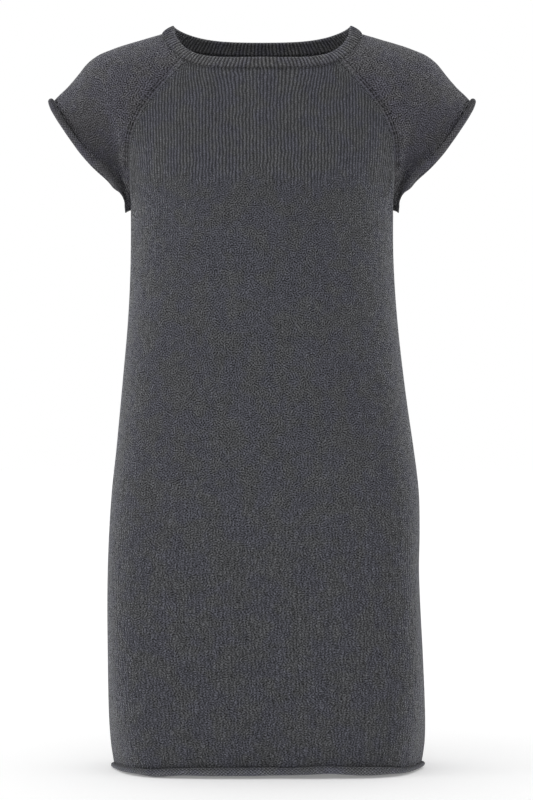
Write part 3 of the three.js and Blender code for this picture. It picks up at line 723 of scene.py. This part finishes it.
def make_panel(name, facing, folds):
    """The front (facing -1) or the back (1), whose halves mirror each other but for its lean."""
    sheet = Sheet(
        facing, partial(panel_point, facing), partial(panel_length, facing),
        HEM, PANEL_ROWS, PANEL_TOP_LENGTH, -facing,
    )
    lean = table_at(TABLES[facing], sheet.at.ravel())[:, 7].reshape(sheet.shape)
    halves = []
    for mirror in (1, -1):
        use = [((a[0] * mirror, a[1]), (b[0] * mirror, b[1]), s, d) for a, b, s, d in folds]
        share = sheet.share.ravel()
        outer, inner, paint = finish_sheet(sheet, use, panel_angle(facing, share), -1, mirror)
        for grid in (outer, inner):
            grid[..., 0] -= lean
            grid[..., 0] *= mirror
        halves.append((outer, inner, paint))
    (right_out, right_in, right_paint), (left_out, left_in, left_paint) = halves
    outer = joined(left_out, right_out)
    inner = joined(left_in, right_in)
    paint = {key: joined(left_paint[key], right_paint[key]) for key in right_paint}
    paint = over_roll(paint, HEM_ROLL)
    whole_lean = joined(lean, lean)
    outer[..., 0] += whole_lean
    inner[..., 0] += whole_lean
    for grid in (outer, inner):
        z = grid[..., 2]
        z += hem_wave(facing, grid[..., 0]) * smooth_step(*HEM_WAVE_Z, z)
    columns = len(outer)
    swell = waves(columns, 1.0, HEM_SWELL)
    swell *= 1 - 0.45 * smooth_step(115, 165, np.abs(outer[:, -1, 0] - whole_lean[:, -1]))
    outer, inner = add_roll(outer, inner, HEM_ROLL, swell)
    across = joined(-sheet.across, sheet.across) / WALE
    down = joined(sheet.down, sheet.down) / COURSE
    uv = stitch_uv(across, down, HEM_ROLL)
    height = outer[..., 2] + waves(columns, 0.0, HEIGHT_WAVES)[:, None]
    paint["ribbed"] = smooth_step(*RIBBED_Z, height)
    paint["lined"] = smooth_step(*LINED_Z, height)
    return wall_mesh(name, outer, inner, uv, paint)


def over_roll(paint, roll):
    """A roll shows the cloth's wrong side, with painted shade over the top of its curl and a slight
    painted lightening below. Its other numbers are those of the row before it.
    """
    longer = {
        key: np.concatenate([values, np.repeat(values[:, -1:], roll["steps"], axis=1)], axis=1)
        for key, values in paint.items()
    }
    turns = np.arange(1, roll["steps"] + 1) / roll["steps"] * roll["turn"]
    # Painted shade over the top of the curl and a slight painted lightening on the rest of it.
    longer["painted_shading"][:, -roll["steps"]:] = 0.6 * smooth_step(170, roll["turn"] - 15, turns) - 0.08
    longer["purl"][:, -roll["steps"]:] = 1.0
    return longer


def stitch_uv(across, down, roll):
    """The stitch pattern's own grid: one unit is a wale across, and a course down."""
    round_roll = (roll["inside"] + WALL) * math.radians(roll["turn"])
    extra = np.arange(1, roll["steps"] + 1) * (round_roll / roll["steps"])
    down = np.concatenate([down, down[:, -1:] + extra[None, :] / COURSE], axis=1)
    u = np.repeat(across[:, None], down.shape[1], axis=1)
    return np.stack([u + 0.5, down], axis=2)


def make_sleeve():
    """The right sleeve's grids, from the front seam over the crown to the back seam."""
    parts = []
    for facing, folds in ((-1, SLEEVE_FRONT_FOLDS), (1, SLEEVE_BACK_FOLDS)):
        sheet = Sheet(
            facing, partial(sleeve_point, facing), partial(sleeve_length, facing),
            CUFF, SLEEVE_ROWS, SLEEVE_TOP_LENGTH, facing,
        )
        degrees = sleeve_angle(facing, sheet.share.ravel())
        outer, inner, paint = finish_sheet(sheet, folds, degrees, 1)
        parts.append((sheet, outer, inner, paint))
    (front, front_out, front_in, front_paint), (back, back_out, back_in, back_paint) = parts
    outer = over_crown(front_out, back_out)
    inner = over_crown(front_in, back_in)
    paint = {key: over_crown(front_paint[key], back_paint[key]) for key in front_paint}
    paint = over_roll(paint, CUFF_ROLL)
    paint["ribbed"] = np.zeros_like(paint["seam"])
    paint["lined"] = np.zeros_like(paint["seam"])
    middle = len(front_out) - 1
    soften_crown(outer, middle)
    soften_crown(inner, middle)
    edge = outer[:, -1]
    from_ends = [np.linalg.norm(edge - edge[end], axis=1) for end in (0, -1)]
    swell = waves(len(outer), 1.0, CUFF_SWELL)
    swell *= 0.2 + 0.8 * smooth_step(-20, 110, np.minimum(*from_ends))
    outer, inner = add_roll(outer, inner, CUFF_ROLL, swell)
    across = over_crown(-front.across, back.across) / WALE
    down = over_crown(front.down, back.down) / COURSE
    uv = stitch_uv(across, down, CUFF_ROLL)
    return outer, inner, uv, paint


def over_crown(front, back):
    """A sleeve's grid from its two halves, from the front seam to the back one."""
    return np.concatenate([front[::-1], back[1:]])


def soften_crown(grid, middle):
    """Rounds the crown's crease by averaging the columns near it."""
    reach = 14
    low, high = middle - reach, middle + reach + 1
    fade = np.cos(np.linspace(-np.pi / 2, np.pi / 2, 2 * reach + 1))[:, None, None] * 0.5
    for _ in range(40):
        average = (grid[low - 1:high - 1] + grid[low + 1:high + 1]) / 2
        grid[low:high] += (average - grid[low:high]) * fade


def make_neckband(name):
    """The ribbed band, a closed ring of ribs that are evenly spaced along its middle."""
    fine = np.linspace(0, 360, 1441)
    middle = (loop_point(BAND_FOOT, fine) + loop_point(BAND_TOP, fine)) / 2
    run = run_along(middle)
    count = RIBS * COLUMNS_PER_RIB
    degrees = np.interp(np.arange(count) / count * run[-1], run, fine)
    up, out = band_directions(degrees)
    foot = loop_point(BAND_FOOT, degrees) + up * (SEAM_GAP / 2)
    top = loop_point(BAND_TOP, degrees)
    phase = np.arange(count) / COLUMNS_PER_RIB
    rib = (0.5 + 0.5 * np.cos(2 * np.pi * phase)) ** 0.8
    height = np.linalg.norm(top - foot, axis=1)
    rows_out, rows_in, places = [], [], []

    def bow(t):
        """How far the wall bows outward at a share of its height."""
        return BAND_CROWN * math.sin(math.pi * t)

    straight = 1 - BAND_EDGE
    for t in np.linspace(0, straight, 10):
        base = foot + (top - foot) * t
        relief = RIB_HEIGHT * rib * min(1.0, 0.3 + t * 4)
        rows_out.append(base + out * (bow(t) + relief)[:, None])
        rows_in.append(base + out * (bow(t) - WALL - RIB_INSIDE * rib)[:, None])
        places.append(t * height)
    # The top edge rounds over from the outside to the inside.
    end = foot + (top - foot) * straight
    centre = end + out * (bow(straight) - WALL / 2)
    half_out = (WALL / 2 + RIB_HEIGHT * rib)[:, None]
    half_in = (WALL / 2 + RIB_INSIDE * rib)[:, None]
    lift = height * BAND_EDGE
    for turn in (30, 60):
        angle = math.radians(turn)
        rise = up * (lift * math.sin(angle))[:, None]
        rows_out.append(centre + out * half_out * math.cos(angle) + rise)
        rows_in.append(centre - out * half_in * math.cos(angle) + rise)
        places.append((straight + BAND_EDGE * math.sin(angle)) * height)
    outer = np.stack(rows_out, axis=1)
    inner = np.stack(rows_in, axis=1)
    v = np.stack(places, axis=1) / COURSE
    u = np.repeat(phase[:, None], v.shape[1], axis=1)
    # Painted shade between the ribs and along the foot, and a painted highlight over the top edge.
    painted_shading = np.repeat(0.12 * (1 - rib)[:, None], v.shape[1], axis=1)
    painted_shading[:, 0] = 0.5
    painted_shading[:, 1] = 0.2
    painted_shading[:, -3:] -= 0.3
    paint = {
        "seam": np.full(v.shape, SEAM_FAR),
        "run": v,
        "painted_shading": painted_shading,
        "ribbed": np.ones(v.shape),
        "lined": np.ones(v.shape),
        "purl": np.zeros(v.shape),
    }
    return wall_mesh(name, outer, inner, np.stack([u + 0.5, v], axis=2), paint, ring=True)


# ---------------------------------------------------------------- materials


# The irregular grain of the stitches: its scale, and the values that its noise keeps to.
GRAIN_SCALE = 0.19
GRAIN_RANGE = (0.34, 0.66)
# The two tints of the heathered yarn.
COOL = (0.98, 0.98, 1.04)
WARM = (1.02, 1.02, 0.96)


def knit_material(name, color, strength, swing):
    """Plain knit: V stitches in wales and courses, heathered yarn and a short nap.

    strength brightens the yarn, and swing is how far the grain makes it lighter and darker.
    """
    material = bpy.data.materials.new(name)
    material.use_nodes = True
    tree = material.node_tree
    shader = tree.nodes["Principled BSDF"]
    shader.inputs["Base Color"].default_value = (*color, 1)
    shader.inputs["Roughness"].default_value = 0.95
    shader.inputs["Specular IOR Level"].default_value = 0.2
    shader.inputs["Sheen Roughness"].default_value = 0.1
    shader.inputs["Sheen Tint"].default_value = (0.85, 0.86, 0.9, 1)

    def math_node(operation, a, b=0.0, c=0.0):
        node = tree.nodes.new("ShaderNodeMath")
        node.operation = operation
        for socket, value in zip(node.inputs, (a, b, c)):
            if isinstance(value, (int, float)):
                socket.default_value = value
            else:
                tree.links.new(value, socket)
        return node.outputs[0]

    def ramp(value, low, high, start=0.0, end=1.0):
        node = tree.nodes.new("ShaderNodeMapRange")
        node.interpolation_type = "SMOOTHSTEP"
        for socket, number in zip(node.inputs[1:5], (low, high, start, end)):
            socket.default_value = number
        tree.links.new(value, node.inputs[0])
        return node.outputs[0]

    def blend(share, low, high):
        """low where share is 0 and high where it is 1, both of them numbers."""
        return math_node("MULTIPLY_ADD", share, high - low, low)

    def attribute(key):
        node = tree.nodes.new("ShaderNodeAttribute")
        node.attribute_name = key
        return node.outputs["Fac"]

    coords = tree.nodes.new("ShaderNodeTexCoord")

    def noise(scale, detail, rough=0.6):
        node = tree.nodes.new("ShaderNodeTexNoise")
        node.inputs["Scale"].default_value = scale
        node.inputs["Detail"].default_value = detail
        node.inputs["Roughness"].default_value = rough
        tree.links.new(coords.outputs["Object"], node.inputs["Vector"])
        return node.outputs[0]

    def mixed(share, low, high):
        """low where share is 0 and high where it is 1, both of them sockets."""
        return math_node("MULTIPLY_ADD", share, math_node("SUBTRACT", high, low), low)

    def times(*factors):
        total = factors[0]
        for factor in factors[1:]:
            total = math_node("MULTIPLY", total, factor)
        return total

    # The numbers that the meshes carry. See finish_sheet, make_panel and over_roll.
    ribbed = attribute("ribbed")
    lined = attribute("lined")
    away = attribute("seam")
    run = attribute("run")
    wrong_side = attribute("purl")
    uv = tree.nodes.new("ShaderNodeUVMap")
    uv.uv_map = "Stitches"
    split = tree.nodes.new("ShaderNodeSeparateXYZ")
    tree.links.new(uv.outputs[0], split.inputs[0])

    # A stitch is two legs, which slant down to the middle of its wale and stray a little.
    stray = math_node("SUBTRACT", noise(130, 2), 0.5)
    u = math_node("MULTIPLY_ADD", stray, blend(ribbed, 2.6, 0.85), split.outputs[0])
    v = math_node("MULTIPLY_ADD", noise(110, 2), 3.0, split.outputs[1])
    off = math_node("ABSOLUTE", math_node("SUBTRACT", math_node("FRACT", u), 0.5))
    off = math_node("MULTIPLY", off, 2.0)
    slant = math_node("MULTIPLY_ADD", off, 0.75, v)
    leg = math_node("COSINE", math_node("MULTIPLY", slant, 2 * math.pi))

    # The grain: an irregular maze about as fine as the stitches.
    place = tree.nodes.new("ShaderNodeCombineXYZ")
    tree.links.new(math_node("MULTIPLY", split.outputs[0], WALE), place.inputs[0])
    tree.links.new(math_node("MULTIPLY", split.outputs[1], COURSE), place.inputs[1])
    maze = tree.nodes.new("ShaderNodeTexGabor")
    maze.gabor_type = "2D"
    maze.inputs["Scale"].default_value = GRAIN_SCALE
    maze.inputs["Frequency"].default_value = 2.0
    maze.inputs["Anisotropy"].default_value = 0.0
    tree.links.new(place.outputs[0], maze.inputs["Vector"])
    grain = maze.outputs["Value"]

    def grained(start, end):
        return ramp(grain, *GRAIN_RANGE, start, end)

    # Where the knit lies slack its stitches stand unevenly, and lower down its wales show.
    uneven = grained(1 - swing, 1 + swing)
    lines = mixed(lined, ramp(off, 0.5, 1.0, 1.05, 0.85), ramp(off, 0.3, 0.95, 1.2, 0.62))
    steady = mixed(lined, uneven, math_node("MULTIPLY_ADD", uneven, 0.72, 0.26))
    slack = math_node("MULTIPLY", math_node("MULTIPLY_ADD", leg, 0.36, steady), lines)

    # Where it is stretched, as over the chest, its wales stand apart with dark between them.
    # The line between the two kinds is ragged, and it keeps clear of the raglan seams.
    taut = times(
        ramp(off, 0.2, 0.9, 1.42, 0.48),
        math_node("MULTIPLY_ADD", leg, 0.12, 0.97),
        grained(0.74, 1.26),
    )
    ends = tree.nodes.new("ShaderNodeTexWhiteNoise")
    ends.noise_dimensions = "1D"
    tree.links.new(math_node("FLOOR", split.outputs[0]), ends.inputs["W"])
    ragged = math_node("MULTIPLY_ADD", math_node("SUBTRACT", ends.outputs[0], 0.5), 0.45, ribbed)
    ribbed = math_node("MULTIPLY", ramp(ragged, 0.15, 0.85), ramp(away, 5.0, 9.0))
    shade = mixed(ribbed, slack, taut)

    # The wrong side, which the rolled edges show, is a lattice of purl bumps. On the hem's curl it
    # is painted lighter than on the cuffs', as painted light that the curl catches.
    across = math_node("MULTIPLY_ADD", stray, 0.8, split.outputs[0])
    bumps = times(
        math_node("COSINE", math_node("MULTIPLY", across, 2 * math.pi)),
        math_node("COSINE", math_node("MULTIPLY", split.outputs[1], 1.5 * math.pi)),
    )
    purl = times(
        math_node("MULTIPLY_ADD", bumps, 0.8, 1.0),
        grained(0.75, 1.25),
        blend(lined, 0.95, 1.7),
    )
    shade = mixed(wrong_side, shade, purl)

    # The raglan seam: a band of slanted stitches between two broken dark lines of painted shade in
    # its grooves, with a fainter line of painted shade along its middle.
    slanted = math_node("MULTIPLY", math_node("MULTIPLY_ADD", away, 0.35, run), math.pi)
    twist = math_node("COSINE", slanted)
    strayed = math_node("MULTIPLY_ADD", math_node("SUBTRACT", grain, 0.5), 1.0, away)
    line = ramp(math_node("ABSOLUTE", math_node("SUBTRACT", strayed, 4.0)), 0.3, 1.1, 1.0, 0.0)
    line = math_node("MULTIPLY", line, ramp(twist, -0.7, 0.2, 0.15, 0.85))
    middle = ramp(away, 0.3, 1.0, 1.0, 0.0)
    middle = math_node("MULTIPLY", middle, ramp(twist, -0.4, 0.6, 0.4, 0.05))
    line = math_node("MAXIMUM", line, middle)
    rope_shade = times(math_node("MULTIPLY_ADD", twist, 0.14, 1.2), grained(0.6, 1.4))
    zone = ramp(away, 3.6, 5.0, 0.85, 0.0)
    shade = times(mixed(zone, shade, rope_shade), math_node("SUBTRACT", 1.0, line))
    rope = ramp(math_node("ABSOLUTE", math_node("SUBTRACT", away, 2.1)), 0.2, 1.9, 1.0, 0.0)

    # Single stitches, fibres and larger patches differ in brightness, and the yarn in tint.
    fleck = tree.nodes.new("ShaderNodeTexWhiteNoise")
    fleck.noise_dimensions = "2D"
    cell = tree.nodes.new("ShaderNodeCombineXYZ")
    tree.links.new(math_node("FLOOR", math_node("MULTIPLY", u, 2.0)), cell.inputs[0])
    tree.links.new(math_node("FLOOR", slant), cell.inputs[1])
    tree.links.new(cell.outputs[0], fleck.inputs["Vector"])
    fuzz = noise(1300, 2, 0.7)
    clumps = noise(45, 3)
    lively = math_node("MULTIPLY_ADD", math_node("SUBTRACT", fleck.outputs[0], 0.5), 0.4, 1.0)
    fibre = math_node("MULTIPLY_ADD", fuzz, 1.2, 0.4)
    patch = math_node("MULTIPLY_ADD", clumps, 0.15, 0.925)
    # The painted shade and painted highlight that the meshes carry darken or lighten the yarn here.
    lit = math_node("SUBTRACT", 1.0, attribute("painted_shading"))
    total = times(shade, lively, fibre, patch, lit)
    heather = tree.nodes.new("ShaderNodeMix")
    heather.data_type = "RGBA"
    heather.inputs["A"].default_value = (*(c * strength * s for c, s in zip(color, COOL)), 1)
    heather.inputs["B"].default_value = (*(c * strength * s for c, s in zip(color, WARM)), 1)
    tree.links.new(ramp(noise(38, 2), 0.4, 0.6), heather.inputs["Factor"])
    tint = tree.nodes.new("ShaderNodeVectorMath")
    tint.operation = "SCALE"
    tree.links.new(heather.outputs["Result"], tint.inputs[0])
    tree.links.new(total, tint.inputs["Scale"])
    tree.links.new(tint.outputs[0], shader.inputs["Base Color"])

    # The nap is thinner on the wrong side.
    tree.links.new(blend(wrong_side, 1.0, 0.6), shader.inputs["Sheen Weight"])

    height = math_node("MULTIPLY_ADD", fuzz, 0.4, shade)
    height = math_node("MULTIPLY_ADD", rope, 0.3, height)
    bump = tree.nodes.new("ShaderNodeBump")
    bump.inputs["Strength"].default_value = 1.0
    bump.inputs["Distance"].default_value = 0.0005
    tree.links.new(height, bump.inputs["Height"])
    tree.links.new(bump.outputs[0], shader.inputs["Normal"])
    return material


KNIT = knit_material("knit", (0.055, 0.056, 0.063), 1.17, 0.58)
SLEEVE_KNIT = knit_material("sleeve knit", (0.057, 0.056, 0.064), 1.25, 0.7)
RIB_KNIT = knit_material("rib knit", (0.060, 0.060, 0.066), 1.3, 0.58)

# ---------------------------------------------------------------- the dress

front = make_panel("front_panel", -1, FRONT_FOLDS)
back = make_panel("back_panel", 1, BACK_FOLDS)
sleeve_outer, sleeve_inner, sleeve_uv, sleeve_paint = make_sleeve()
sleeve_right = wall_mesh("right_sleeve", sleeve_outer, sleeve_inner, sleeve_uv, sleeve_paint)
sleeve_outer[..., 0] *= -1
sleeve_inner[..., 0] *= -1
sleeve_left = wall_mesh("left_sleeve", sleeve_outer, sleeve_inner, sleeve_uv, sleeve_paint)
band = make_neckband("ribbed_neckband")

PIECES = [
    (front, "front", "knit", KNIT),
    (back, "back", "knit", KNIT),
    (sleeve_right, "sleeve_right", "sleeve_knit", SLEEVE_KNIT),
    (sleeve_left, "sleeve_left", "sleeve_knit", SLEEVE_KNIT),
    (band, "neckband", "rib_knit", RIB_KNIT),
]
for piece, node, slot, material in PIECES:
    piece.data.materials.append(material)
    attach(piece, "root")
    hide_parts(node)

# ---------------------------------------------------------------- camera, floor and lights

camera_data = bpy.data.cameras.new("camera")
camera_data.lens = 133.6
camera_data.sensor_width = 36
camera = bpy.data.objects.new("camera", camera_data)
camera.location = (0.00515, -3.4, -0.417)
camera.rotation_euler = (math.radians(90), 0, 0)
bpy.context.scene.collection.objects.link(camera)
bpy.context.scene.camera = camera

FLOOR_Z = -0.838
FLOOR_HALF = 14.0
SURROUND_DIMMER = {"From Min": 0.2, "From Max": 0.9, "To Min": 1.0, "To Max": 0.72}


def floor():
    mesh = bpy.data.meshes.new("floor")
    signs = ((-1, -1), (1, -1), (1, 1), (-1, 1))
    corners = [(x * FLOOR_HALF, y * FLOOR_HALF, FLOOR_Z) for x, y in signs]
    mesh.from_pydata(corners, [], [(0, 1, 2, 3)])
    body = bpy.data.objects.new("floor", mesh)
    bpy.context.scene.collection.objects.link(body)
    material = bpy.data.materials.new("white floor")
    material.use_nodes = True
    shader = material.node_tree.nodes["Principled BSDF"]
    shader.inputs["Base Color"].default_value = (0.88, 0.88, 0.88, 1)
    shader.inputs["Roughness"].default_value = 1.0
    shader.inputs["Specular IOR Level"].default_value = 0.0
    shader.inputs["Emission Color"].default_value = (1, 1, 1, 1)
    shader.inputs["Emission Strength"].default_value = 0.22
    mesh.materials.append(material)


def softbox(name, side, power):
    """A tall soft light beside the dress, turned towards its middle."""
    data = bpy.data.lights.new(name, "AREA")
    data.shape = "RECTANGLE"
    data.size = 1.0
    data.size_y = 2.0
    data.energy = power
    light = bpy.data.objects.new(name, data)
    light.location = (2.6 * side, -0.9, 0.0)
    direction = Vector((0, 0, -0.42)) - light.location
    light.rotation_euler = direction.to_track_quat("-Z", "Y").to_euler()
    bpy.context.scene.collection.objects.link(light)


def white_surround():
    """White to the camera, and as a light dimmer towards the right-hand side."""
    world = bpy.data.worlds.new("white surround")
    world.use_nodes = True
    tree = world.node_tree
    background = tree.nodes["Background"]
    background.inputs["Color"].default_value = (1, 1, 1, 1)
    place = tree.nodes.new("ShaderNodeTexCoord")
    sides = tree.nodes.new("ShaderNodeSeparateXYZ")
    tree.links.new(place.outputs["Generated"], sides.inputs[0])
    dimmer = tree.nodes.new("ShaderNodeMapRange")
    for key, number in SURROUND_DIMMER.items():
        dimmer.inputs[key].default_value = number
    tree.links.new(sides.outputs[0], dimmer.inputs[0])
    seen = tree.nodes.new("ShaderNodeLightPath")
    brightest = tree.nodes.new("ShaderNodeMath")
    brightest.operation = "MAXIMUM"
    tree.links.new(dimmer.outputs[0], brightest.inputs[0])
    tree.links.new(seen.outputs["Is Camera Ray"], brightest.inputs[1])
    tree.links.new(brightest.outputs[0], background.inputs["Strength"])
    return world


floor()
softbox("left softbox", -1, 9)
softbox("right softbox", 1, 1)
bpy.context.scene.world = white_surround()
bpy.context.scene.view_settings.view_transform = "Standard"
bpy.context.scene.view_settings.look = "None"
